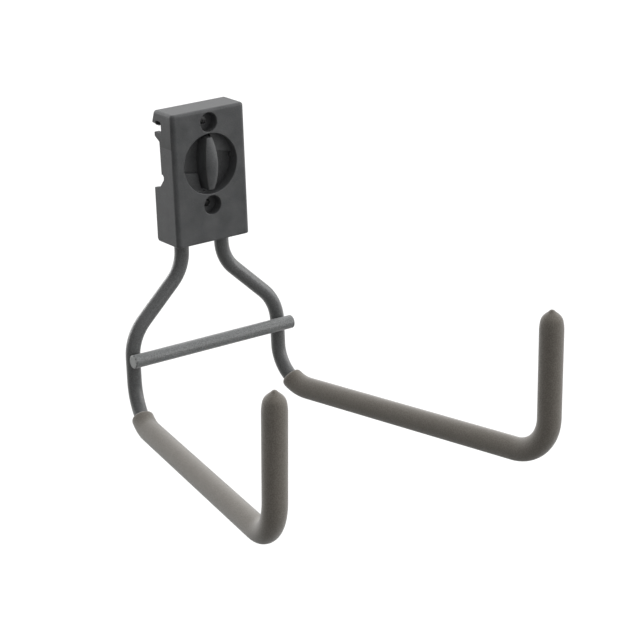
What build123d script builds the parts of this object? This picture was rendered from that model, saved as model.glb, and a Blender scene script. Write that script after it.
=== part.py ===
from build123d import *
import math
import os

os.makedirs("parts", exist_ok=True)

# Double storage hook with a turn-lock rail clip. Millimetres, +Z up, front faces -Y.
# The origin is on the turning axis of the knob, in the plane of the wall (Y = 0).
# A depth below is a distance in front of the wall, so it runs along -Y.

# Rod frame
rod_d = 8.0
rod_axis_depth = 7.9
rod_neck_half_gap = 12.8
rod_leg_half_gap = 47.2
rod_bridge_z = -16.1
rod_shoulder_top_z = -58.5
rod_shoulder_low_z = -90.9
rod_arm_z = -138.0
rod_bridge_bend_r = 10.0
rod_shoulder_top_bend_r = 22.6
rod_shoulder_low_bend_r = 26.5
rod_back_bend_r = 21.9
rod_tip_bend_r = 23.8
rod_end_chamfer = 1.0
arm_length = 193.0
arm_splay_deg = 11.3
arm_rise_deg = 0.35
upright_lean_out_deg = 3.0
upright_lean_in_deg = 1.05
upright_length = 72.9

# Cross bar
bar_d = 7.4
bar_half_length = 51.7
bar_z = -102.0
bar_edge_round = 0.5
bar_weld_sink = 0.3

# Foam sleeves
sleeve_d = 12.5
sleeve_start_deg = 52.6
sleeve_start_round = 1.2
sleeve_grip_gap = 0.05
sleeve_tip_beyond_rod = 8.2
sleeve_shoulder_length = 12.5
sleeve_tip_shares = [(0.16, 0.045), (0.41, 0.17), (0.70, 0.28), (0.88, 0.42), (0.97, 0.66)]

# Clip housing
clip_half_width = 22.9
clip_depth = 21.5
clip_top_z = 30.0
clip_bottom_z = -43.0
side_wall = 2.5
front_wall = 2.0
end_wall = 2.0
side_edge_r = 2.4
top_edge_r = 1.7
small_edge_r = 0.8
rim_edge_r = 0.4

# Rail profile cut into the side walls, as heights and depths
claw_root_depth = 2.9
claw_tip_depth = 0.0
claw_tip_z = 22.6
claw_under_z = 22.1
claw_inner_depth = 4.9
claw_lip_z = 21.3
claw_corner_r = 1.8
slot_top_z = 24.8
slot_floor_z = 18.5
slot_end_depth = 10.1
slot_corner_r = 1.0
finger_tip_depth = 3.4
finger_low_z = 16.1
finger_root_z = 13.6
finger_corner_r = 0.7
channel_top_depth = 7.8
channel_low_depth = 8.2
notch_top_z = -4.4
notch_step_depth = 9.4
notch_end_depth = 10.2
notch_end_top_z = -5.4
notch_end_low_z = -7.0
notch_ramp_depth = 6.2
notch_ramp_z = -11.6
notch_shelf_z = -13.0
notch_corner_r = 0.8
back_foot_r = 2.0

# Knob well and its two ledges
well_r = 16.6
well_wall = 1.8
well_deep = 7.4
ledge_deep = 5.2
floor_wall = 1.9
ledge_gap = 1.6
ledge_corner_r = 1.2

# Screw holes
screw_offset_z = 22.8
counterbore_r = 5.25
counterbore_deep = 6.0
screw_hole_r = 2.1
screw_boss_wall = 1.75
screw_tube_wall = 1.95
slot_clearance = 0.3

# Rod seats
seat_gap = 0.05
seat_rib = 2.0
seat_lip = 1.0
seat_rib_z = [-35.5, -28.5]
bridge_rib_x = [-2.6, 2.6]
bridge_rib_top_z = -10.6
web_thickness = 2.5
stiffener_x = [-11.0, 11.0]
stiffener_depth = 13.0

# Knob and its shaft
grip_half_length = 14.3
grip_half_width = 3.9
grip_end_half_width = 1.6
grip_end_r = 0.6
grip_proud = 2.3
grip_draft_deg = 3.0
grip_crown_across_r = 8.5
grip_edge_r = 0.5
shaft_r = 3.0
shaft_gap = 0.05
knob_floor_gap = 0.1
bearing_r = 4.9
bearing_end_depth = 8.3
drive_side = 4.2
drive_corner_r = 0.4

# Lock cam and its screw
cam_gap = 0.15
cam_fit_gap = 0.05
cam_thickness = 3.0
cam_hub_r = 4.9
cam_lobe_r = 2.6
cam_reach = 10.6
cam_edge_r = 0.4
screw_head_r = 2.9
screw_head_height = 1.7
screw_shank_r = 1.2
screw_length = 8.0
screw_gap = 0.02
screw_recess_width = 3.4
screw_recess_arm = 0.8
screw_recess_deep = 0.9

# Worked out from the values above
rod_r = rod_d / 2
bar_r = bar_d / 2
sleeve_r = sleeve_d / 2
front = clip_depth
well_floor_depth = front - well_deep
floor_back_depth = well_floor_depth - floor_wall
inner_front_depth = front - front_wall
inner_half_width = clip_half_width - side_wall
cam_front_depth = bearing_end_depth - cam_gap
cam_back_depth = cam_front_depth - cam_thickness
past_all = 2 * clip_depth
overrun = 1.0


def facing_front(depth):
    """Work plane at a depth, with X to the right and Z up, its normal towards the front."""
    return Plane.XZ.offset(depth)


def disc(radius, deep_end, shallow_end, x=0, z=0):
    """Round bar along Y between two depths, the smaller depth first."""
    sketch = facing_front(deep_end) * Pos(x, z) * Circle(radius)
    return extrude(sketch, amount=shallow_end - deep_end)


def block(x_span, depth_span, z_span):
    """Box between two X values, two depths and two heights."""
    size = (x_span[1] - x_span[0], depth_span[1] - depth_span[0], z_span[1] - z_span[0])
    middle = (sum(x_span) / 2, -sum(depth_span) / 2, sum(z_span) / 2)
    return Pos(*middle) * Box(*size)


def grip_outline(margin=0.0):
    """Lens outline of the grip, standing upright, grown by a margin."""
    top = grip_half_length + margin
    end = grip_end_half_width + margin
    side = grip_half_width + margin
    outline = Curve() + [
        ThreePointArc((end, top), (side, 0), (end, -top)),
        Line((end, -top), (-end, -top)),
        ThreePointArc((-end, -top), (-side, 0), (-end, top)),
        Line((-end, top), (end, top)),
    ]
    return make_face(outline)


def arm_points():
    """Corners of the right half of the rod, from the middle of its bridge to its end."""
    splay = math.radians(arm_splay_deg)
    rise = math.radians(arm_rise_deg)
    heading = Vector(math.sin(splay), -math.cos(splay), 0)
    across = Vector(math.cos(splay), math.sin(splay), 0)
    outward = heading * math.cos(rise) + Vector(0, 0, math.sin(rise))
    lean_out = math.tan(math.radians(upright_lean_out_deg))
    lean_in = math.tan(math.radians(upright_lean_in_deg))
    up = (Vector(0, 0, 1) + heading * lean_out - across * lean_in).normalized()
    y = -rod_axis_depth
    back_corner = Vector(rod_leg_half_gap, y, rod_arm_z)
    tip_corner = back_corner + outward * arm_length
    return [
        Vector(rod_neck_half_gap, y, rod_bridge_z),
        Vector(rod_neck_half_gap, y, rod_shoulder_top_z),
        Vector(rod_leg_half_gap, y, rod_shoulder_low_z),
        back_corner,
        tip_corner,
        tip_corner + up * upright_length,
    ]


def half_bend_radii():
    """Bend radii at the corners of one half, from the bridge outwards."""
    return [
        rod_bridge_bend_r,
        rod_shoulder_top_bend_r,
        rod_shoulder_low_bend_r,
        rod_back_bend_r,
        rod_tip_bend_r,
    ]


def mirrored(point):
    return Vector(-point.X, point.Y, point.Z)


def round_bar(path, radius):
    """Round bar of one radius along a path."""
    section = Plane(origin=path @ 0, z_dir=path % 0) * Circle(radius)
    return sweep(section, path=path)


def make_hook_rod():
    right = arm_points()
    points = [mirrored(p) for p in reversed(right)] + right
    radii = list(reversed(half_bend_radii())) + half_bend_radii()
    path = FilletPolyline(*points, radius=radii)
    rod = round_bar(path, rod_r)
    ends = rod.faces().filter_by(GeomType.PLANE)
    return chamfer(ends.edges(), rod_end_chamfer)


def make_cross_bar():
    depth = rod_axis_depth + rod_r + bar_r - bar_weld_sink
    plane = Plane(origin=(-bar_half_length, -depth, bar_z), z_dir=(1, 0, 0))
    bar = extrude(plane * Circle(bar_r), amount=2 * bar_half_length)
    return fillet(bar.edges().filter_by(GeomType.CIRCLE), bar_edge_round)


def tip_profile():
    """Half section of the sleeve's pointed end: radius against the distance from its tip."""
    r = sleeve_r
    length = sleeve_shoulder_length
    curve = [(r * across, -length * along) for across, along in sleeve_tip_shares]
    edge = Spline((0, 0), *curve, (r, -length), tangents=[(1, 0), (0, -1)])
    closing = Polyline((r, -length), (0, -length), (0, 0))
    return make_face(Curve() + [edge, closing])


def make_right_sleeve():
    """Foam sleeve on the right arm, from part way round its lower bend to past its end."""
    corners = arm_points()
    rod_end = corners[-1]
    up = (rod_end - corners[-2]).normalized()
    tip = rod_end + up * sleeve_tip_beyond_rod
    shoulder = tip - up * sleeve_shoulder_length
    route = corners[2:-1] + [shoulder]
    full = FilletPolyline(*route, radius=[rod_back_bend_r, rod_tip_bend_r])
    bend = full.edges().filter_by(GeomType.CIRCLE).sort_by(Axis.Y)[-1]
    rest = [e for e in full.edges() if e.center().Y < bend.center().Y]
    start_share = sleeve_start_deg / math.degrees(bend.length / rod_back_bend_r)
    if (bend @ 0).Z < (bend @ 1).Z:
        kept = bend.trim(0, 1 - start_share)
        start = kept @ 1
        heading = (kept % 1) * -1
    else:
        kept = bend.trim(start_share, 1)
        start = kept @ 0
        heading = kept % 0
    path = Wire([kept] + rest)
    outer = sweep(Plane(origin=start, z_dir=heading) * Circle(sleeve_r), path=path)
    mouth = [
        e
        for e in outer.edges().filter_by(GeomType.CIRCLE)
        if (e.arc_center - start).length < 0.01 and abs(e.radius - sleeve_r) < 1e-3
    ]
    outer = fillet(mouth, sleeve_start_round)
    tip_plane = Plane(origin=tip, z_dir=up)
    turned = revolve(Plane.XZ * tip_profile(), axis=Axis.Z)
    outer = outer + tip_plane * turned
    bore_route = corners[2:]
    bore_path = FilletPolyline(*bore_route, radius=[rod_back_bend_r, rod_tip_bend_r])
    bore = round_bar(bore_path, rod_r + sleeve_grip_gap)
    return outer - bore


def side_profile():
    """Side view of the clip: the rail claw, its slot and finger, the channel and the lower notch."""
    corners = [
        ((-front, clip_bottom_z), 0),
        ((-front, clip_top_z), 0),
        ((-claw_root_depth, clip_top_z), claw_corner_r),
        ((-claw_tip_depth, claw_tip_z), small_edge_r / 2),
        ((-claw_inner_depth, claw_under_z), 0),
        ((-claw_inner_depth, slot_top_z), slot_corner_r),
        ((-slot_end_depth, slot_top_z), slot_corner_r),
        ((-slot_end_depth, slot_floor_z), slot_corner_r / 2),
        ((-finger_tip_depth, slot_floor_z), finger_corner_r),
        ((-finger_tip_depth, finger_low_z), finger_corner_r),
        ((-channel_top_depth, finger_root_z), finger_corner_r),
        ((-channel_low_depth, notch_top_z), 0),
        ((-notch_step_depth, notch_top_z), notch_corner_r / 2),
        ((-notch_end_depth, notch_end_top_z), notch_corner_r),
        ((-notch_end_depth, notch_end_low_z), notch_corner_r),
        ((-notch_ramp_depth, notch_ramp_z), notch_corner_r),
        ((0, notch_shelf_z), 0),
        ((0, clip_bottom_z), back_foot_r),
    ]
    points = [c[0] for c in corners]
    radii = [c[1] for c in corners]
    return make_face(FilletPolyline(*points, radius=radii, close=True))


def clip_block():
    """Outside of the clip as a solid block, with its outer edges rounded."""
    body = extrude(Plane.YZ.offset(-clip_half_width) * side_profile(), amount=2 * clip_half_width)
    upright = body.edges().filter_by(Axis.Z).group_by(Axis.Y)[0]
    body = fillet(upright, side_edge_r)
    front_face = body.faces().filter_by(Axis.Y).sort_by(Axis.Y)[0]
    top_front = front_face.edges().group_by(Axis.Z)[-1]
    body = fillet(top_front, top_edge_r)
    front_face = body.faces().filter_by(Axis.Y).sort_by(Axis.Y)[0]
    low_front = front_face.edges().group_by(Axis.Z)[0]
    return fillet(low_front, small_edge_r)


def claw_lip():
    """Lip across the whole top of the clip, which hooks over the rail."""
    slope = (claw_root_depth - claw_tip_depth) / (clip_top_z - claw_tip_z)
    lip_back = claw_tip_depth + small_edge_r
    root_z = clip_top_z - end_wall
    root_back = claw_root_depth - slope * (clip_top_z - root_z)
    outline = FilletPolyline(
        (-claw_inner_depth, root_z),
        (-root_back, root_z),
        (-claw_tip_depth - slope, claw_tip_z),
        (-lip_back, claw_lip_z),
        (-claw_inner_depth, claw_lip_z),
        radius=[0, 0, 0, small_edge_r / 2, small_edge_r],
        close=True,
    )
    return extrude(Plane.YZ.offset(-inner_half_width) * make_face(outline), amount=2 * inner_half_width)


def ledge_recess():
    """The area that the grip sweeps in its quarter turn, and a margin round it."""
    standing = grip_outline(ledge_gap)
    lying = Rot(0, 0, 90) * standing
    reach = well_r + overrun
    upper_left = Pos(-reach / 2, reach / 2) * Rectangle(reach, reach)
    lower_right = Pos(reach / 2, -reach / 2) * Rectangle(reach, reach)
    recess = standing + lying + upper_left + lower_right
    return recess


def ledges():
    """Two fixed ledges that leave the grip its quarter turn."""
    plan = Circle(well_r + well_wall / 2) - ledge_recess()
    inner = sorted(plan.vertices(), key=lambda v: math.hypot(v.X, v.Y))[:2]
    plan = fillet(inner, ledge_corner_r)
    low = well_floor_depth - floor_wall / 2
    return extrude(facing_front(low) * plan, amount=front - ledge_deep - low)


def screw_boss(z):
    """Tube of one screw hole, from the front plate to the back of the seat."""
    return disc(counterbore_r + screw_boss_wall, floor_back_depth, inner_front_depth + front_wall / 2, z=z)


def screw_tube(z, back_depth):
    """Narrower tube behind a seat, which keeps the screw straight."""
    return disc(screw_hole_r + screw_tube_wall, back_depth, floor_back_depth + floor_wall / 2, z=z)


def rod_seat_ribs():
    """Ribs behind the front plate that the rod snaps into."""
    lip_depth = rod_axis_depth - seat_lip
    ribs = []
    for z in seat_rib_z:
        ribs.append(
            block((-inner_half_width, inner_half_width), (lip_depth, inner_front_depth), (z - seat_rib, z))
        )
    low_z = rod_bridge_z - rod_r - seat_rib / 4
    for x in bridge_rib_x:
        half = seat_rib / 2
        ribs.append(block((x - half, x + half), (lip_depth, inner_front_depth), (low_z, bridge_rib_top_z)))
    half_web = web_thickness / 2
    web_z = (clip_bottom_z + end_wall / 2, -screw_offset_z - screw_hole_r - screw_tube_wall / 2)
    ribs.append(block((-half_web, half_web), (0, inner_front_depth), web_z))
    for x in stiffener_x:
        half = seat_rib / 2
        ribs.append(block((x - half, x + half), (stiffener_depth, inner_front_depth), (0, clip_top_z - end_wall)))
    return ribs


def rod_space():
    """Room for the rod's bridge and legs, open to the back below it."""
    radius = rod_r + seat_gap
    right = arm_points()[:3]
    points = [mirrored(p) for p in reversed(right)] + right
    radii = [rod_shoulder_top_bend_r, rod_bridge_bend_r, rod_bridge_bend_r, rod_shoulder_top_bend_r]
    return round_bar(FilletPolyline(*points, radius=radii), radius)


def leg_slots():
    """Slots in the bottom wall that let the legs in from the back."""
    radius = rod_r + seat_gap
    slots = []
    for x in (-rod_neck_half_gap, rod_neck_half_gap):
        slots.append(
            block(
                (x - radius, x + radius),
                (-end_wall, rod_axis_depth),
                (clip_bottom_z - end_wall, clip_bottom_z + 2 * end_wall),
            )
        )
    return slots


def make_clip_housing():
    body = clip_block()
    body -= block(
        (-inner_half_width, inner_half_width),
        (-past_all, inner_front_depth),
        (clip_bottom_z + end_wall, clip_top_z - end_wall),
    )
    body += claw_lip()
    body += disc(well_r + well_wall, floor_back_depth, inner_front_depth + front_wall / 2)
    body += disc(bearing_r, bearing_end_depth, floor_back_depth + floor_wall / 2)
    for z in (-screw_offset_z, screw_offset_z):
        body += screw_boss(z)
    body += screw_tube(screw_offset_z, slot_end_depth + slot_clearance)
    body += screw_tube(-screw_offset_z, 0)
    body += rod_seat_ribs()
    body -= disc(well_r, well_floor_depth, past_all)
    body += ledges()
    for z in (-screw_offset_z, screw_offset_z):
        body -= disc(counterbore_r, front - counterbore_deep, past_all, z=z)
        body -= disc(screw_hole_r, -end_wall, past_all, z=z)
    body -= disc(shaft_r + shaft_gap, 0, past_all)
    body -= rod_space()
    body -= leg_slots()
    rims = [
        e
        for e in body.edges().filter_by(GeomType.CIRCLE)
        if abs(e.arc_center.Y + front) < 1e-3 and e.radius > counterbore_r - 1e-3
    ]
    return fillet(rims, rim_edge_r)


def make_lock_knob():
    draft = math.tan(math.radians(grip_draft_deg))
    root_depth = well_floor_depth + knob_floor_gap
    height = front + grip_proud - root_depth
    root = grip_outline(draft * (height - grip_proud))
    grip = extrude(facing_front(root_depth) * root, amount=height + overrun, taper=grip_draft_deg)
    upright = [e for e in grip.edges() if abs((e @ 1 - e @ 0).Y) > height / 2]
    grip = fillet(upright, grip_end_r)
    crown_r = (grip_half_length ** 2 + grip_proud ** 2) / (2 * grip_proud)
    crown_centre = Pos(0, -(front + grip_proud - crown_r), 0)
    crown = Torus(crown_r - grip_crown_across_r, grip_crown_across_r)
    grip = grip & crown_centre * Rot(0, 90, 0) * crown
    crown_face = grip.faces().filter_by(GeomType.TORUS)[0]
    grip = fillet(crown_face.edges(), grip_edge_r)
    shaft = disc(shaft_r, cam_front_depth, root_depth + overrun)
    drive = facing_front(cam_back_depth) * RectangleRounded(drive_side, drive_side, drive_corner_r)
    knob = grip + shaft + extrude(drive, amount=cam_thickness)
    return knob - disc(screw_shank_r + screw_gap, cam_back_depth - overrun, cam_back_depth + screw_length)


def make_lock_cam():
    hub = Circle(cam_hub_r)
    lobe = Pos(0, -(cam_reach - cam_lobe_r)) * Circle(cam_lobe_r)
    plan = make_hull((hub.edges() + lobe.edges()))
    side = drive_side + 2 * cam_fit_gap
    plan -= RectangleRounded(side, side, drive_corner_r)
    cam = extrude(facing_front(cam_back_depth) * plan, amount=cam_thickness)
    rim = [e for e in cam.edges() if abs(e.center().Y + cam_back_depth) < 1e-3 and e.length > side]
    return fillet(rim, cam_edge_r)


def make_cam_screw():
    head_back = cam_back_depth - screw_head_height
    head = disc(screw_head_r, head_back, cam_back_depth)
    back_rim = head.edges().filter_by(GeomType.CIRCLE).sort_by(Axis.Y)[-1]
    head = fillet(back_rim, screw_head_height / 2)
    shank = disc(screw_shank_r, cam_back_depth, cam_back_depth + screw_length - screw_head_height)
    cross = Rectangle(screw_recess_width, screw_recess_arm) + Rectangle(screw_recess_arm, screw_recess_width)
    recess = extrude(facing_front(head_back - overrun) * cross, amount=overrun + screw_recess_deep)
    return head + shank - recess


def main():
    right_sleeve = make_right_sleeve()
    left_sleeve = mirror(right_sleeve, about=Plane.YZ)
    pieces = {
        "clip_housing": make_clip_housing(),
        "lock_knob": make_lock_knob(),
        "lock_cam": make_lock_cam(),
        "cam_screw": make_cam_screw(),
        "hook_rod": make_hook_rod(),
        "cross_bar": make_cross_bar(),
        "left_sleeve": left_sleeve,
        "right_sleeve": right_sleeve,
    }
    for name, piece in pieces.items():
        export_step(piece, f"parts/{name}.step")
        print(name, round(piece.volume, 1))


main()
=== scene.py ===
# %% [markdown]
# A double storage hook: a moulded plastic clip with a turn-lock knob, a bent steel rod with two arms,
# a cross bar, and a foam sleeve on each arm.
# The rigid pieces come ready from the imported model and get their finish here. The two foam sleeves are
# soft, so they are modelled again in this lesson and stand for their plain solids.

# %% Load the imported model
import bpy
import math
from mathutils import Euler, Matrix, Quaternion, Vector


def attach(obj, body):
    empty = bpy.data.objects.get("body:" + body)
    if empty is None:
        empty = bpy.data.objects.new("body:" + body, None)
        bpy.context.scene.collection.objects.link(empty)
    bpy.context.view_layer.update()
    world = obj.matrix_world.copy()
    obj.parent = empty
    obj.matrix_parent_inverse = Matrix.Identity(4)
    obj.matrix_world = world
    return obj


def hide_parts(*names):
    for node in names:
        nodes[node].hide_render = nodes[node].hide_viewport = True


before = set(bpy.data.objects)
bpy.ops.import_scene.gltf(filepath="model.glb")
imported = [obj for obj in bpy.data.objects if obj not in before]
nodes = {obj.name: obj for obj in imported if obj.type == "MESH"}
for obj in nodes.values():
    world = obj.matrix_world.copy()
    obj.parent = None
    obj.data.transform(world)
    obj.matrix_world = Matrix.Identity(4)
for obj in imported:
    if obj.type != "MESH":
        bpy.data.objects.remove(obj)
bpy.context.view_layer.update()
mm = 0.001
print("nodes:", sorted(nodes))

# %% [markdown]
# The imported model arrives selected, and an operator acts on all that is selected. So a small helper
# leaves only one object selected and active, and it is called before each piece of modelling.


# %% Selection helper
def pick_only(piece):
    """Select one object alone, and make it active."""
    bpy.ops.object.select_all(action="DESELECT")
    piece.select_set(True)
    bpy.context.view_layer.objects.active = piece


# %% [markdown]
# A paint or plastic maker gives a colour as a hex value on the screen's scale. Shaders add and multiply
# light, so they need the linear value behind it, and one function turns one into the other.


# %% Colours from hex values
def linear(hex_colour):
    """Linear red, green, blue and alpha of an sRGB hex value."""
    shares = [int(hex_colour[i:i + 2], 16) / 255 for i in (1, 3, 5)]
    values = [s / 12.92 if s <= 0.04045 else ((s + 0.055) / 1.055) ** 2.4 for s in shares]
    return (*values, 1.0)


# %% [markdown]
# Every material is a small network of nodes. One function adds a node, sets its properties and fills its
# sockets, either with a value or with a link from another node's output. A socket is given by its name, or
# by its number where several share a name: a Mix node of colours takes its share at 0 and its two colours
# at 6 and 7, and gives the mixed colour at output 2. Each material starts with a shader joined to the
# output, and its patterns read the piece's own coordinates in metres. So they need no unwrapping, have no
# seams, and their scale is one over a real size.


# %% Node helpers
def add_node(tree, kind, sockets=None, **settings):
    """Add a node, set its properties, and fill or link its input sockets."""
    node = tree.nodes.new(kind)
    for name, value in settings.items():
        setattr(node, name, value)
    for name, value in (sockets or {}).items():
        if isinstance(value, bpy.types.NodeSocket):
            tree.links.new(value, node.inputs[name])
        else:
            node.inputs[name].default_value = value
    return node


def start_material(name):
    """New node material: returns it, its tree, its shader and object coordinates."""
    material = bpy.data.materials.new(name)
    material.use_nodes = True
    tree = material.node_tree
    tree.nodes.clear()
    shader = add_node(tree, "ShaderNodeBsdfPrincipled")
    add_node(tree, "ShaderNodeOutputMaterial", {"Surface": shader.outputs["BSDF"]})
    place = add_node(tree, "ShaderNodeTexCoord").outputs["Object"]
    return material, tree, shader, place


# %% [markdown]
# The clip, its knob and its cam are injection moulded in glass-filled nylon, coloured through. The mould
# is spark eroded, so the surface is matt with a fine grain, and the flow of the melt leaves faint clouds
# of slightly different gloss. The real grain is about 0.15 mm, too fine to show in the picture, so it is
# drawn at 0.5 mm. One flat grey would look like paint, so two sizes of noise are added: the small one is
# the grain and the large one the clouds. The upper part of both sides catches less light, and that shade is
# painted into the colour: darkest at a faint line low on the sides, and fading upwards.

# %% Moulded nylon
nylon_dark = "#434445"
nylon_light = "#5b5c5d"
# painted shade: the colour of the upper part of both sides, darkest at the faint line
side_shade_colour = "#383939"
nylon_grain = 0.5 * mm
nylon_cloud = 9 * mm
grain_share = 1.2
nylon_shades = (0.75, 1.45)
nylon_gloss = (0.4, 0.48)
nylon_relief = 0.05 * mm
nylon_relief_strength = 0.3
nylon_ior = 1.5
nylon_specular = 0.34
# height of the faint line where the painted side shade ends, its soft edge, and how far up it fades
side_shade_bottom = 10.7 * mm
side_shade_edge = 0.4 * mm
side_shade_reach = 17 * mm
side_start = 22.7 * mm
side_edge = 0.1 * mm


def moulded_nylon():
    material, tree, shader, place = start_material("moulded_glass_filled_nylon")
    cloud = add_node(
        tree,
        "ShaderNodeTexNoise",
        {"Vector": place, "Scale": 1 / nylon_cloud, "Detail": 3.0},
    )
    grain = add_node(
        tree,
        "ShaderNodeTexNoise",
        {"Vector": place, "Scale": 1 / nylon_grain, "Detail": 2.0},
    )
    blend = add_node(
        tree,
        "ShaderNodeMath",
        {0: grain.outputs["Fac"], 1: grain_share, 2: cloud.outputs["Fac"]},
        operation="MULTIPLY_ADD",
    )
    shade = add_node(
        tree,
        "ShaderNodeMapRange",
        {"Value": blend.outputs["Value"], "From Min": nylon_shades[0], "From Max": nylon_shades[1]},
    )
    plain = add_node(
        tree,
        "ShaderNodeMix",
        {0: shade.outputs["Result"], 6: linear(nylon_dark), 7: linear(nylon_light)},
        data_type="RGBA",
    )
    axes = add_node(tree, "ShaderNodeSeparateXYZ", {"Vector": place})
    reach = add_node(tree, "ShaderNodeMath", {0: axes.outputs["X"]}, operation="ABSOLUTE")
    on_side = add_node(
        tree,
        "ShaderNodeMapRange",
        {"Value": reach.outputs["Value"], "From Min": side_start, "From Max": side_start + side_edge},
    )
    above_line = add_node(
        tree,
        "ShaderNodeMapRange",
        {"Value": axes.outputs["Z"], "From Min": side_shade_bottom, "From Max": side_shade_bottom + side_shade_edge},
    )
    fade = add_node(
        tree,
        "ShaderNodeMapRange",
        {"Value": axes.outputs["Z"], "From Min": side_shade_bottom + side_shade_reach, "From Max": side_shade_bottom},
    )
    upper_side = add_node(
        tree,
        "ShaderNodeMath",
        {0: on_side.outputs["Result"], 1: above_line.outputs["Result"]},
        operation="MULTIPLY",
    )
    # painted shade on the upper sides: strongest just above the line and fading upwards
    painted_side_shade = add_node(
        tree,
        "ShaderNodeMath",
        {0: upper_side.outputs["Value"], 1: fade.outputs["Result"]},
        operation="MULTIPLY",
    )
    colour = add_node(
        tree,
        "ShaderNodeMix",
        {0: painted_side_shade.outputs["Value"], 6: plain.outputs[2], 7: linear(side_shade_colour)},
        data_type="RGBA",
    )
    tree.links.new(colour.outputs[2], shader.inputs["Base Color"])
    gloss = add_node(
        tree,
        "ShaderNodeMapRange",
        {
            "Value": cloud.outputs["Fac"],
            "From Min": 0.3,
            "From Max": 0.7,
            "To Min": nylon_gloss[0],
            "To Max": nylon_gloss[1],
        },
    )
    tree.links.new(gloss.outputs["Result"], shader.inputs["Roughness"])
    relief = add_node(
        tree,
        "ShaderNodeBump",
        {"Height": grain.outputs["Fac"], "Strength": nylon_relief_strength, "Distance": nylon_relief},
    )
    tree.links.new(relief.outputs["Normal"], shader.inputs["Normal"])
    shader.inputs["IOR"].default_value = nylon_ior
    shader.inputs["Specular IOR Level"].default_value = nylon_specular
    return material


nylon = moulded_nylon()
print("made", nylon.name)

# %% [markdown]
# The rod and the cross bar are cold drawn steel with a baked powder coat. The powder melts into a satin
# skin with a low orange peel of about 1.6 mm and a fine speckle where grains have not quite flowed out.
# The bar took less powder than the rod: its coat is thinner, paler and much more speckled, with a trace of
# the drawn steel's long streaks. A streak is the speckle's noise, stretched along the bar by a Mapping
# node. Two separate materials would repeat each other, so one function makes both coats from their values.

# %% Powder coat
coat_speckle = 0.55 * mm
coat_peel = 1.6 * mm
streak_length = 14 * mm
coat_shades = (0.32, 0.68)
coat_relief_strength = 0.4
coat_sheen_roughness = 0.4
coat_ior = 1.5
rod_coat = {
    "dark": "#515252",
    "light": "#696a6a",
    "roughness": 0.34,
    "specular": 0.5,
    "sheen": 0.15,
    "streaks": 0.0,
    "relief": 0.06 * mm,
}
bar_coat = {
    "dark": "#545656",
    "light": "#858787",
    "roughness": 0.42,
    "specular": 0.65,
    "sheen": 0.3,
    "streaks": 0.2,
    "relief": 0.1 * mm,
}


def powder_coat(name, dark, light, roughness, specular, sheen, streaks, relief):
    material, tree, shader, place = start_material(name)
    speckle = add_node(
        tree,
        "ShaderNodeTexNoise",
        {"Vector": place, "Scale": 1 / coat_speckle, "Detail": 2.0},
    )
    peel = add_node(
        tree,
        "ShaderNodeTexNoise",
        {"Vector": place, "Scale": 1 / coat_peel, "Detail": 1.0},
    )
    stretched = add_node(
        tree,
        "ShaderNodeMapping",
        {"Vector": place, "Scale": (coat_speckle / streak_length, 1.0, 1.0)},
    )
    streak = add_node(
        tree,
        "ShaderNodeTexNoise",
        {"Vector": stretched.outputs["Vector"], "Scale": 1 / coat_speckle, "Detail": 2.0},
    )
    blend = add_node(
        tree,
        "ShaderNodeMix",
        {"Factor": streaks, "A": speckle.outputs["Fac"], "B": streak.outputs["Fac"]},
    )
    shade = add_node(
        tree,
        "ShaderNodeMapRange",
        {"Value": blend.outputs["Result"], "From Min": coat_shades[0], "From Max": coat_shades[1]},
    )
    colour = add_node(
        tree,
        "ShaderNodeMix",
        {0: shade.outputs["Result"], 6: linear(dark), 7: linear(light)},
        data_type="RGBA",
    )
    tree.links.new(colour.outputs[2], shader.inputs["Base Color"])
    height = add_node(
        tree,
        "ShaderNodeMath",
        {0: peel.outputs["Fac"], 1: speckle.outputs["Fac"]},
        operation="ADD",
    )
    skin = add_node(
        tree,
        "ShaderNodeBump",
        {"Height": height.outputs["Value"], "Strength": coat_relief_strength, "Distance": relief},
    )
    tree.links.new(skin.outputs["Normal"], shader.inputs["Normal"])
    shader.inputs["Roughness"].default_value = roughness
    shader.inputs["IOR"].default_value = coat_ior
    shader.inputs["Specular IOR Level"].default_value = specular
    shader.inputs["Sheen Weight"].default_value = sheen
    shader.inputs["Sheen Roughness"].default_value = coat_sheen_roughness
    return material


coat = powder_coat("powder_coated_rod", **rod_coat)
thin_coat = powder_coat("thin_powder_coat", **bar_coat)
print("made", coat.name, "and", thin_coat.name)

# %% [markdown]
# The bar's two ends are sawn off square. Powder draws back from a sharp rim while it bakes, so the cut
# faces are paler, with a ragged border. Just behind it the ragged edge holds shadow, which is painted as a
# dark ring. The ends could be separate faces with a material of their own, but then their border would be a
# sharp edge. So the distance from the bar's middle picks the colour, and noise added to it makes both
# borders ragged.

# %% Cut ends of the bar
bar_half_length = 51.7 * mm
cut_pale = "#939594"
# painted shadow: the colour of the dark ring just behind each pale cut face
shadow_ring_colour = "#4a4c4c"
ragged_size = 1.1 * mm
ragged_reach = 1.6 * mm
shadow_ring_start = bar_half_length + 0.1 * mm
shadow_ring_edge = 0.2 * mm
face_start = bar_half_length + 0.5 * mm
face_edge = 0.1 * mm


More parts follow.
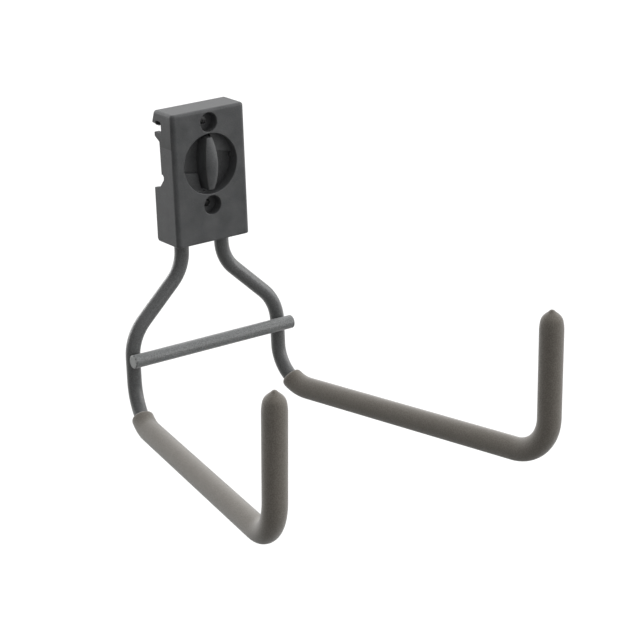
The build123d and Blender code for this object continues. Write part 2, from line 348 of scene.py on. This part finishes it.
def cut_ends(material):
    """Paler, ragged ends with a dark ring of painted shadow behind them, on a coat that runs along X."""
    tree = material.node_tree
    shader = next(n for n in tree.nodes if n.type == "BSDF_PRINCIPLED")
    plain = shader.inputs["Base Color"].links[0].from_socket
    place = add_node(tree, "ShaderNodeTexCoord").outputs["Object"]
    axes = add_node(tree, "ShaderNodeSeparateXYZ", {"Vector": place})
    reach = add_node(tree, "ShaderNodeMath", {0: axes.outputs["X"]}, operation="ABSOLUTE")
    ragged = add_node(
        tree,
        "ShaderNodeTexNoise",
        {"Vector": place, "Scale": 1 / ragged_size, "Detail": 2.0},
    )
    border = add_node(
        tree,
        "ShaderNodeMath",
        {0: ragged.outputs["Fac"], 1: ragged_reach, 2: reach.outputs["Value"]},
        operation="MULTIPLY_ADD",
    )
    # painted shadow: a dark ring a little inside the pale face, where the ragged edge holds shade
    ring = add_node(
        tree,
        "ShaderNodeMapRange",
        {"Value": border.outputs["Value"], "From Min": shadow_ring_start, "From Max": shadow_ring_start + shadow_ring_edge},
    )
    face = add_node(
        tree,
        "ShaderNodeMapRange",
        {"Value": border.outputs["Value"], "From Min": face_start, "From Max": face_start + face_edge},
    )
    with_shadow_ring = add_node(
        tree,
        "ShaderNodeMix",
        {0: ring.outputs["Result"], 6: plain, 7: linear(shadow_ring_colour)},
        data_type="RGBA",
    )
    ended = add_node(
        tree,
        "ShaderNodeMix",
        {0: face.outputs["Result"], 6: with_shadow_ring.outputs[2], 7: linear(cut_pale)},
        data_type="RGBA",
    )
    tree.links.new(ended.outputs[2], shader.inputs["Base Color"])


cut_ends(thin_coat)
print("cut ends at", round(bar_half_length / mm, 1), "mm")

# %% [markdown]
# The small screw behind the cam is zinc plated steel: a real metal, slightly blue, whose plating leaves
# fine patches of different gloss. A metal's look is nearly all reflection, so the pattern goes to its
# roughness and not to its colour.

# %% Zinc plate
zinc_colour = "#b9bcc0"
zinc_patch = 0.3 * mm
zinc_gloss = (0.25, 0.45)


def zinc_plate():
    material, tree, shader, place = start_material("zinc_plated_steel")
    patches = add_node(
        tree,
        "ShaderNodeTexNoise",
        {"Vector": place, "Scale": 1 / zinc_patch, "Detail": 2.0},
    )
    gloss = add_node(
        tree,
        "ShaderNodeMapRange",
        {"Value": patches.outputs["Fac"], "To Min": zinc_gloss[0], "To Max": zinc_gloss[1]},
    )
    tree.links.new(gloss.outputs["Result"], shader.inputs["Roughness"])
    shader.inputs["Base Color"].default_value = linear(zinc_colour)
    shader.inputs["Metallic"].default_value = 1.0
    return material


zinc = zinc_plate()
print("made", zinc.name)

# %% [markdown]
# The sleeves are closed-cell rubber foam, extruded as a tube. Its skin is dull and velvety: thousands of
# tiny cut cells scatter the light, so it has a soft sheen at its edges and no highlight. The cells are
# about 0.2 mm, drawn here at 0.6 mm so that the grain shows. Real holes would need millions of faces, so
# one noise makes both the speckle of the cells and their shallow relief, and a larger one the faint
# patches between paler and darker foam.

# %% Closed-cell foam
foam_dark = "#6a655d"
foam_light = "#78736c"
foam_cell = 0.6 * mm
foam_patch = 5 * mm
cell_share = 6.0
foam_shades = (2.7, 4.3)
foam_relief = 0.12 * mm
foam_relief_strength = 0.4
foam_roughness = 0.9
foam_specular = 0.1
foam_sheen = 0.6
foam_sheen_roughness = 0.5


def closed_cell_foam():
    material, tree, shader, place = start_material("closed_cell_foam")
    cells = add_node(
        tree,
        "ShaderNodeTexNoise",
        {"Vector": place, "Scale": 1 / foam_cell, "Detail": 1.0},
    )
    patch = add_node(
        tree,
        "ShaderNodeTexNoise",
        {"Vector": place, "Scale": 1 / foam_patch, "Detail": 2.0},
    )
    blend = add_node(
        tree,
        "ShaderNodeMath",
        {0: cells.outputs["Fac"], 1: cell_share, 2: patch.outputs["Fac"]},
        operation="MULTIPLY_ADD",
    )
    shade = add_node(
        tree,
        "ShaderNodeMapRange",
        {"Value": blend.outputs["Value"], "From Min": foam_shades[0], "From Max": foam_shades[1]},
    )
    colour = add_node(
        tree,
        "ShaderNodeMix",
        {0: shade.outputs["Result"], 6: linear(foam_dark), 7: linear(foam_light)},
        data_type="RGBA",
    )
    tree.links.new(colour.outputs[2], shader.inputs["Base Color"])
    relief = add_node(
        tree,
        "ShaderNodeBump",
        {"Height": cells.outputs["Fac"], "Strength": foam_relief_strength, "Distance": foam_relief},
    )
    tree.links.new(relief.outputs["Normal"], shader.inputs["Normal"])
    shader.inputs["Roughness"].default_value = foam_roughness
    shader.inputs["Specular IOR Level"].default_value = foam_specular
    shader.inputs["Sheen Weight"].default_value = foam_sheen
    shader.inputs["Sheen Roughness"].default_value = foam_sheen_roughness
    return material


foam = closed_cell_foam()
print("made", foam.name)

# %% [markdown]
# Now the rigid pieces get their finish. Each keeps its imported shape, and only the material in its slot
# changes.

# %% Finish the rigid pieces
finish_of = {
    "clip_housing": nylon,
    "lock_knob": nylon,
    "lock_cam": nylon,
    "cam_screw": zinc,
    "hook_rod": coat,
    "cross_bar": thin_coat,
}
for node_name, material in finish_of.items():
    nodes[node_name].data.materials[0] = material
print("finished", len(finish_of), "rigid pieces")

# %% [markdown]
# The sleeves follow the rod's arms, so the arm's route is set down first, with the same sizes as the
# steel: out of the lower bend, along the arm, round the second bend and up. A route is two straight runs
# and two bends, and each bend has a centre, an axis and an angle. A sleeve could be a curve with a round
# bevel, which is quicker, but then its lip, its swell and its tip couldn't be shaped ring by ring. So it
# is a tube of rings.

# %% Sizes of the arm
leg_half_gap = 47.2 * mm
rod_depth = 7.9 * mm
arm_height = -138 * mm
arm_length = 193 * mm
arm_splay = math.radians(11.3)
arm_rise = math.radians(0.35)
upright_lean_out = math.radians(3)
upright_lean_in = math.radians(1.05)
upright_length = 72.9 * mm
back_bend_radius = 21.9 * mm
tip_bend_radius = 23.8 * mm
bore_radius = 4.05 * mm
sleeve_start = math.radians(52.6)
right_tip_beyond_rod = 9.0 * mm
left_tip_beyond_rod = 7.1 * mm
shoulder_length = 12.5 * mm


# %% The arm's corners and directions
def arm_route(side):
    """Corner points and directions of one arm: side is 1 on the right and -1 on the left."""
    heading = Vector((side * math.sin(arm_splay), -math.cos(arm_splay), 0))
    across = Vector((side * math.cos(arm_splay), math.sin(arm_splay), 0))
    outward = heading * math.cos(arm_rise) + Vector((0, 0, math.sin(arm_rise)))
    up = Vector((0, 0, 1)) + heading * math.tan(upright_lean_out) - across * math.tan(upright_lean_in)
    up.normalize()
    back = Vector((side * leg_half_gap, -rod_depth, arm_height))
    tip = back + outward * arm_length
    return {"outward": outward, "up": up, "back": back, "tip": tip, "end": tip + up * upright_length}


for side in (-1, 1):
    ends = arm_route(side)
    print("arm", side, "ends at", [round(v / mm, 1) for v in ends["end"]], "mm")


# %% [markdown]
# A bend is made as a bender does it: the end of the tube turns about a fixed centre. In edit mode that is
# the spin operator, which turns the selected ring about an axis and leaves its last copy selected. The
# straight runs are the same ring, extruded a few millimetres at a time so that the foam can be shaped.
# Spin turns clockwise when its axis points at the viewer, so it is given the axis reversed.

# %% Steps of the tube
ring_sides = 56
run_step = 5 * mm
bend_step = math.radians(4.5)


def extrude_run(direction, length):
    """Carry the selected ring along a straight run."""
    steps = max(1, round(length / run_step))
    for _ in range(steps):
        bpy.ops.mesh.extrude_region_move(
            TRANSFORM_OT_translate={"value": direction * (length / steps)}
        )


def spin_bend(centre, axis, angle):
    """Carry the selected ring round a bend."""
    steps = max(1, round(angle / bend_step))
    bpy.ops.mesh.spin(steps=steps, angle=angle, center=centre, axis=-axis)


# %% [markdown]
# One function runs a tube of any radius along the arm. It serves twice for each sleeve: for the outside
# of the foam and for the bore that grips the rod. Its first steps are short, because the lip is rounded
# there. The function leaves the tube in edit mode with its last ring selected, ready to be closed.

# %% A tube along the arm
lip_length = 2.4 * mm
lip_steps = 7


def arm_tube(name, side, radius, end_length):
    """Open tube from the sleeve's mouth to a length above the tip corner."""
    route = arm_route(side)
    outward = route["outward"]
    up = route["up"]
    back_angle = outward.angle(Vector((0, 0, -1)))
    back_cut = back_bend_radius * math.tan(back_angle / 2)
    back_axis = Vector((0, 0, -1)).cross(outward).normalized()
    bend_start = route["back"] + Vector((0, 0, back_cut))
    back_centre = bend_start - back_axis.cross(Vector((0, 0, 1))) * back_bend_radius
    turn = Matrix.Rotation(sleeve_start, 3, back_axis)
    mouth = back_centre + turn @ (bend_start - back_centre)
    heading = turn @ Vector((0, 0, -1))
    bpy.ops.object.select_all(action="DESELECT")
    bpy.ops.mesh.primitive_circle_add(
        vertices=ring_sides,
        radius=radius,
        fill_type="NOTHING",
        location=mouth,
        rotation=heading.to_track_quat("Z", "Y").to_euler(),
    )
    tube = bpy.context.active_object
    tube.name = name
    bpy.ops.object.transform_apply(location=True, rotation=True, scale=True)
    bpy.ops.object.mode_set(mode="EDIT")
    bpy.ops.mesh.select_all(action="SELECT")
    lip_angle = lip_length / back_bend_radius
    lip_marks = [1 - math.cos(math.pi / 2 * step / lip_steps) for step in range(lip_steps + 1)]
    for mark, mark_before in zip(lip_marks[1:], lip_marks):
        spin_bend(back_centre, back_axis, (mark - mark_before) * lip_angle)
    spin_bend(back_centre, back_axis, back_angle - sleeve_start - lip_angle)
    tip_angle = outward.angle(up)
    tip_cut = tip_bend_radius * math.tan(tip_angle / 2)
    extrude_run(outward, arm_length - back_cut - tip_cut)
    tip_axis = outward.cross(up).normalized()
    tip_centre = route["tip"] - outward * tip_cut + tip_axis.cross(outward) * tip_bend_radius
    spin_bend(tip_centre, tip_axis, tip_angle)
    extrude_run(up, end_length - tip_cut)
    return tube


# %% [markdown]
# Foam is not as even as steel. The sleeve hugs the rod at its mouth with a rounded lip, and it is a little
# fuller towards the tip, where it was not stretched when it was pulled on. Each ring of the tube gets the
# radius that its distance from the mouth asks for.

# %% Shape of the foam along its length
lip_radius = 4.35 * mm
mouth_radius = 6.05 * mm
tip_radius = 6.4 * mm


def foam_radius(distance, length):
    """Radius of the foam at a distance from the mouth of a sleeve of some length."""
    full = mouth_radius + (tip_radius - mouth_radius) * distance / length
    if distance >= lip_length:
        return full
    rise = math.sqrt(1 - (1 - distance / lip_length) ** 2)
    return lip_radius + (full - lip_radius) * rise


def shape_rings(tube):
    """Give each ring of a tube the foam's radius."""
    vertices = tube.data.vertices
    rings = [vertices[i:i + ring_sides] for i in range(0, len(vertices), ring_sides)]
    centres = [sum((v.co for v in ring), Vector()) / ring_sides for ring in rings]
    distances = [0.0]
    for centre, centre_before in zip(centres[1:], centres):
        distances.append(distances[-1] + (centre - centre_before).length)
    for ring, centre, distance in zip(rings, centres, distances):
        radius = foam_radius(distance, distances[-1])
        for vertex in ring:
            vertex.co = centre + (vertex.co - centre).normalized() * radius


# %% [markdown]
# The sleeve's end is closed: the foam is drawn in to a point over the end of the rod. Seen from the side
# it rounds off at the shoulder, runs in with slightly hollow flanks, and ends in a small blunt nib. In edit
# mode each step of that outline is the ring again, moved on and scaled about its own centre.

# %% Outline of the closed tip
tip_outline = [
    (0.18, 1.0),
    (0.36, 0.968),
    (0.45, 0.94),
    (0.53, 0.908),
    (0.58, 0.873),
    (0.64, 0.82),
    (0.7, 0.74),
    (0.752, 0.65),
    (0.795, 0.56),
    (0.836, 0.465),
    (0.865, 0.39),
    (0.893, 0.32),
    (0.92, 0.265),
    (0.949, 0.215),
    (0.972, 0.16),
    (0.99, 0.09),
]


def close_tip(centre, up):
    """Draw the selected ring in to the sleeve's point, from the start of its shoulder."""
    along_before = 0.0
    share_before = 1.0
    for along, share in tip_outline:
        step = up * ((along - along_before) * shoulder_length)
        centre = centre + step
        bpy.ops.mesh.extrude_region_move(TRANSFORM_OT_translate={"value": step})
        scale = share / share_before
        bpy.ops.transform.resize(value=(scale, scale, scale), center_override=centre)
        along_before = along
        share_before = share
    bpy.ops.mesh.extrude_region_move(
        TRANSFORM_OT_translate={"value": up * ((1 - along_before) * shoulder_length)}
    )
    bpy.ops.mesh.merge(type="CENTER")


# %% [markdown]
# The bore ends in a flat face over the rod's end. It and the outside are then joined into one mesh and
# bridged at the mouth, which gives the lip of foam its real thickness. The two sleeves were pulled on by
# hand, so the left one stands a little further down over its rod's end than the right one.


# %% One sleeve
def make_sleeve(name, side, tip_beyond_rod):
    """Closed foam sleeve with its bore, on one arm."""
    route = arm_route(side)
    shoulder_height = upright_length + tip_beyond_rod - shoulder_length
    outside = arm_tube(name, side, mouth_radius, shoulder_height)
    bpy.ops.object.mode_set(mode="OBJECT")
    shape_rings(outside)
    bpy.ops.object.mode_set(mode="EDIT")
    close_tip(route["tip"] + route["up"] * shoulder_height, route["up"])
    bpy.ops.object.mode_set(mode="OBJECT")
    bore = arm_tube(name + "_bore", side, bore_radius, upright_length)
    bpy.ops.mesh.edge_face_add()
    bpy.ops.object.mode_set(mode="OBJECT")
    pick_only(outside)
    bore.select_set(True)
    bpy.ops.object.join()
    bpy.ops.object.mode_set(mode="EDIT")
    bpy.ops.mesh.select_all(action="DESELECT")
    bpy.ops.mesh.select_mode(type="EDGE")
    bpy.ops.mesh.select_non_manifold()
    bpy.ops.mesh.bridge_edge_loops()
    bpy.ops.mesh.select_all(action="SELECT")
    bpy.ops.mesh.normals_make_consistent(inside=False)
    bpy.ops.object.mode_set(mode="OBJECT")
    return outside


right_sleeve = make_sleeve("right_foam_sleeve", 1, right_tip_beyond_rod)
left_sleeve = make_sleeve("left_foam_sleeve", -1, left_tip_beyond_rod)
for sleeve in (right_sleeve, left_sleeve):
    print(sleeve.name, len(sleeve.data.polygons), "faces")

# %% [markdown]
# Each sleeve gets the foam, rides on the body that holds the rod, and stands for the plain solid.

# %% Dress the sleeves
smooth_angle = math.radians(50)

for sleeve, node_name in ((right_sleeve, "right_sleeve"), (left_sleeve, "left_sleeve")):
    sleeve.data.materials.append(foam)
    pick_only(sleeve)
    bpy.ops.object.shade_smooth_by_angle(angle=smooth_angle)
    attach(sleeve, "hook")
    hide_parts(node_name)
print("sleeves ride on the hook body")

# %% [markdown]
# The picture was taken from the front left and a little above, with a long lens from well over a metre
# away. The camera's heading, tilt and roll are set as turns from level, and it has no shift.

# %% Camera
camera_place = Vector((-0.67822, -1.10175, 0.34326))
camera_heading = math.radians(34.482)
camera_tilt = math.radians(18.665)
camera_roll = math.radians(2.146)
camera_lens = 141.174
sensor_width = 36
clip_near = 0.01
clip_far = 60


def make_camera():
    data = bpy.data.cameras.new("studio_camera")
    data.lens = camera_lens
    data.sensor_width = sensor_width
    data.sensor_fit = "HORIZONTAL"
    data.clip_start = clip_near
    data.clip_end = clip_far
    camera = bpy.data.objects.new("studio_camera", data)
    bpy.context.scene.collection.objects.link(camera)
    level = Euler((math.pi / 2 - camera_tilt, 0, -camera_heading)).to_quaternion()
    rolled = level @ Quaternion((0, 0, 1), -camera_roll)
    camera.matrix_world = Matrix.LocRotScale(camera_place, rolled, Vector((1, 1, 1)))
    bpy.context.scene.camera = camera
    return camera


camera = make_camera()
print("camera", [round(v, 3) for v in camera.location], "m")

# %% [markdown]
# The hook hangs, so nothing touches the floor, which lies well below it. The floor is a cloth that gives
# little light back to the hook's underside. Its glow is only seen, by the camera, and in reflections under
# the backdrop that hangs behind the hook: it makes the cloth white and leaves the hook's shadow on it. More
# lamps would whiten it too, but they would also bleach the hook. The dot product of a place with the
# backdrop's direction tells how far behind the hook it lies. Seen from below, the floor is clear.

# %% Floor
floor_height = -0.32
floor_side = 14.0
floor_colour = "#7d7d7c"
floor_roughness = 0.8
floor_glow = 0.8
backdrop_side = Vector((0.566, 0.824, 0.0)).normalized()
cloth_edges = (-0.1, 0.3)


def floor_finish():
    material, tree, shader, place = start_material("pale_studio_floor")
    shader.inputs["Base Color"].default_value = linear(floor_colour)
    shader.inputs["Roughness"].default_value = floor_roughness
    path = add_node(tree, "ShaderNodeLightPath")
    mirrored = add_node(
        tree,
        "ShaderNodeMath",
        {0: path.outputs["Is Glossy Ray"], 1: path.outputs["Is Transmission Ray"]},
        operation="MAXIMUM",
    )
    behind = add_node(tree, "ShaderNodeVectorMath", {0: place, 1: backdrop_side}, operation="DOT_PRODUCT")
    under_backdrop = add_node(
        tree,
        "ShaderNodeMapRange",
        {"Value": behind.outputs["Value"], "From Min": cloth_edges[0], "From Max": cloth_edges[1]},
    )
    mirrored_there = add_node(
        tree,
        "ShaderNodeMath",
        {0: mirrored.outputs["Value"], 1: under_backdrop.outputs["Result"]},
        operation="MULTIPLY",
    )
    seen = add_node(
        tree,
        "ShaderNodeMath",
        {0: path.outputs["Is Camera Ray"], 1: mirrored_there.outputs["Value"]},
        operation="MAXIMUM",
    )
    glow = add_node(
        tree,
        "ShaderNodeMath",
        {0: seen.outputs["Value"], 1: floor_glow},
        operation="MULTIPLY",
    )
    shader.inputs["Emission Color"].default_value = (1, 1, 1, 1)
    tree.links.new(glow.outputs["Value"], shader.inputs["Emission Strength"])
    clear = add_node(tree, "ShaderNodeBsdfTransparent")
    side = add_node(tree, "ShaderNodeNewGeometry")
    both = add_node(
        tree,
        "ShaderNodeMixShader",
        {0: side.outputs["Backfacing"], 1: shader.outputs["BSDF"], 2: clear.outputs["BSDF"]},
    )
    output = next(n for n in tree.nodes if n.type == "OUTPUT_MATERIAL")
    tree.links.new(both.outputs["Shader"], output.inputs["Surface"])
    return material


bpy.ops.object.select_all(action="DESELECT")
bpy.ops.mesh.primitive_plane_add(size=floor_side, location=(0, 0, floor_height))
floor = bpy.context.active_object
floor.name = "studio_floor"
floor.data.materials.append(floor_finish())
print("floor at", floor_height, "m")

# %% [markdown]
# The studio is a white tent with soft boxes outside its cloth. Each box is a bright patch of the world:
# brightest in one direction of the room and fading smoothly round it, the faster the higher its power. The
# strong ones stand far left and to the right. Softer ones hang overhead and high behind, and only a weak
# fill comes from where the camera stands. That leaves the round rods dark along their middle and light
# along both edges.

# %% Soft boxes
soft_boxes = {
    "far_left": {"toward": (-0.26, 1.39, 0.0), "power": 6, "strength": 4.9},
    "far_high": {"toward": (0.57, 0.82, 1.0), "power": 6, "strength": 1.0},
    "high_far_right": {"toward": (1.39, 0.26, 1.0), "power": 6, "strength": 1.4},
    "right": {"toward": (0.82, -0.57, 0.0), "power": 6, "strength": 4.4},
    "near": {"toward": (-0.57, -0.82, 0.0), "power": 2, "strength": 0.65},
    "overhead": {"toward": (0.0, 0.0, 1.0), "power": 8, "strength": 2.0},
}
print("soft boxes:", ", ".join(soft_boxes))

# %% [markdown]
# Behind the hook hangs a plain white backdrop. The camera sees it everywhere. Reflections see it only on
# the side where it hangs, so glossy edges that look past the hook turn white, and it lights nothing else.
# Each box's light is the dot product of a direction with the box's own, raised to the box's power.

# %% World
backdrop_edges = (-0.1, 0.4)


def make_world():
    world = bpy.data.worlds.new("white_tent")
    world.use_nodes = True
    tree = world.node_tree
    tree.nodes.clear()
    direction = add_node(tree, "ShaderNodeTexCoord").outputs["Generated"]
    light = 0.0
    for box in soft_boxes.values():
        toward = Vector(box["toward"]).normalized()
        facing = add_node(tree, "ShaderNodeVectorMath", {0: direction, 1: toward}, operation="DOT_PRODUCT")
        front = add_node(tree, "ShaderNodeMath", {0: facing.outputs["Value"], 1: 0.0}, operation="MAXIMUM")
        patch = add_node(
            tree,
            "ShaderNodeMath",
            {0: front.outputs["Value"], 1: box["power"]},
            operation="POWER",
        )
        light = add_node(
            tree,
            "ShaderNodeMath",
            {0: patch.outputs["Value"], 1: box["strength"], 2: light},
            operation="MULTIPLY_ADD",
        ).outputs["Value"]
    path = add_node(tree, "ShaderNodeLightPath")
    mirrored = add_node(
        tree,
        "ShaderNodeMath",
        {0: path.outputs["Is Glossy Ray"], 1: path.outputs["Is Transmission Ray"]},
        operation="MAXIMUM",
    )
    behind = add_node(
        tree,
        "ShaderNodeVectorMath",
        {0: direction, 1: backdrop_side},
        operation="DOT_PRODUCT",
    )
    backdrop = add_node(
        tree,
        "ShaderNodeMapRange",
        {"Value": behind.outputs["Value"], "From Min": backdrop_edges[0], "From Max": backdrop_edges[1]},
    )
    mirrored_there = add_node(
        tree,
        "ShaderNodeMath",
        {0: mirrored.outputs["Value"], 1: backdrop.outputs["Result"]},
        operation="MULTIPLY",
    )
    strength = add_node(
        tree,
        "ShaderNodeMath",
        {0: light, 1: mirrored_there.outputs["Value"]},
        operation="MAXIMUM",
    )
    room = add_node(
        tree,
        "ShaderNodeBackground",
        {"Color": (1, 1, 1, 1), "Strength": strength.outputs["Value"]},
    )
    plain = add_node(tree, "ShaderNodeBackground", {"Color": (1, 1, 1, 1), "Strength": 1.0})
    both = add_node(
        tree,
        "ShaderNodeMixShader",
        {0: path.outputs["Is Camera Ray"], 1: room.outputs["Background"], 2: plain.outputs["Background"]},
    )
    add_node(tree, "ShaderNodeOutputWorld", {"Surface": both.outputs["Shader"]})
    bpy.context.scene.world = world


make_world()
bpy.context.scene.view_settings.view_transform = "Standard"
print("world made")
